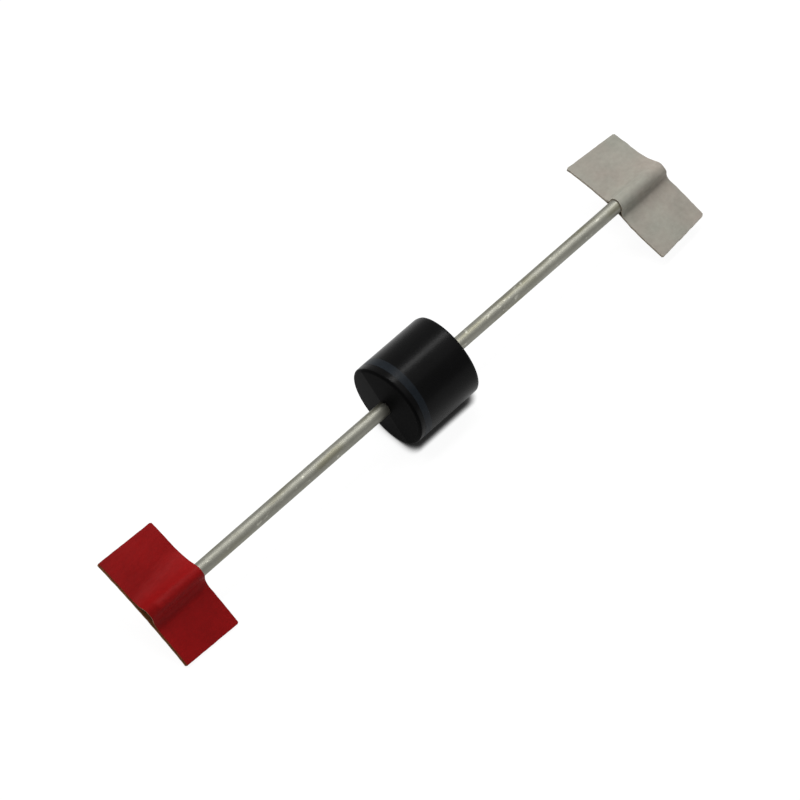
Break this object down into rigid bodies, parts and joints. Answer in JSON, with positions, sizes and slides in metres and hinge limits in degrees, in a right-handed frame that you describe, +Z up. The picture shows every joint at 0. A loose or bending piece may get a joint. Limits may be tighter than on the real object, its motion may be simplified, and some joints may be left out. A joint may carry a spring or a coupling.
{
  "type": "transient suppressor diode",
  "caption": "Axial diode with a black moulded case, grey polarity band, straight tinned leads and paper carrier tape flags, for clamping voltage spikes.",
  "frame": {"origin": "on the table, under the middle of the moulded case", "axes": "+X along the leads from the cathode to the anode, +Z up from the table the part lies on"},
  "size_m": [0.0639, 0.0116, 0.0081],
  "materials": {
    "case": "satin moulded epoxy",
    "band_ink": "flat printed ink",
    "tinned_wire": "satin tin plate",
    "silicon": "polished",
    "solder": "dull",
    "coating": "soft gloss",
    "red_tape": "crepe paper",
    "pale_tape": "crepe paper"
  },
  "bodies": {
    "root": {"moulded_body": "case", "polarity_band": "band_ink", "cathode_lead": "tinned_wire", "anode_lead": "tinned_wire", "silicon_die": "silicon", "cathode_solder": "solder", "anode_solder": "solder", "junction_coating": "coating", "cathode_tape_lower": "red_tape", "cathode_tape_upper": "red_tape", "anode_tape_lower": "pale_tape", "anode_tape_upper": "pale_tape"}
  },
  "joints": []
}
